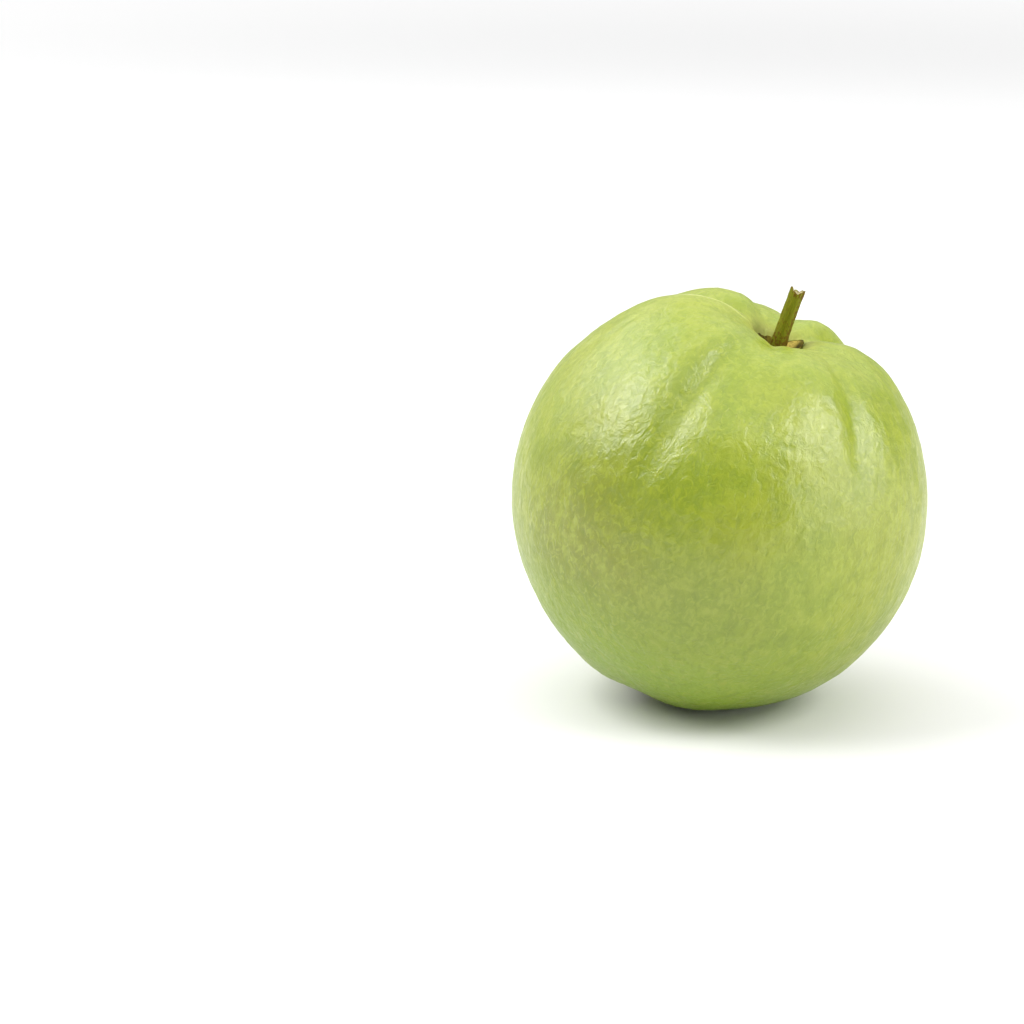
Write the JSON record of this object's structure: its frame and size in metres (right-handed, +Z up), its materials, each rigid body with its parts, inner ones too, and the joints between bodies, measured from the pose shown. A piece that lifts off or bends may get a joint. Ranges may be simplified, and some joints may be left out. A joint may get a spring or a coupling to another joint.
{
  "type": "guava",
  "caption": "Round, weakly lobed green guava with a short woody stem in a puckered hollow, leaning a little as it rests on a small flat spot.",
  "frame": {"origin": "on the surface that the fruit rests on, below the middle of its box; the flat spot lies round it", "axes": "+Z up; the core leans from +Z towards +X, which is the picture's right; the side that the picture shows faces -Y"},
  "size_m": [0.0946, 0.095, 0.0968],
  "materials": {
    "skin": "satin",
    "stem": "matte",
    "cork": "matte",
    "calyx": "matte"
  },
  "bodies": {
    "root": {"fruit": "skin", "stem": "stem", "stem_scar": "cork", "calyx": "calyx"}
  },
  "joints": []
}
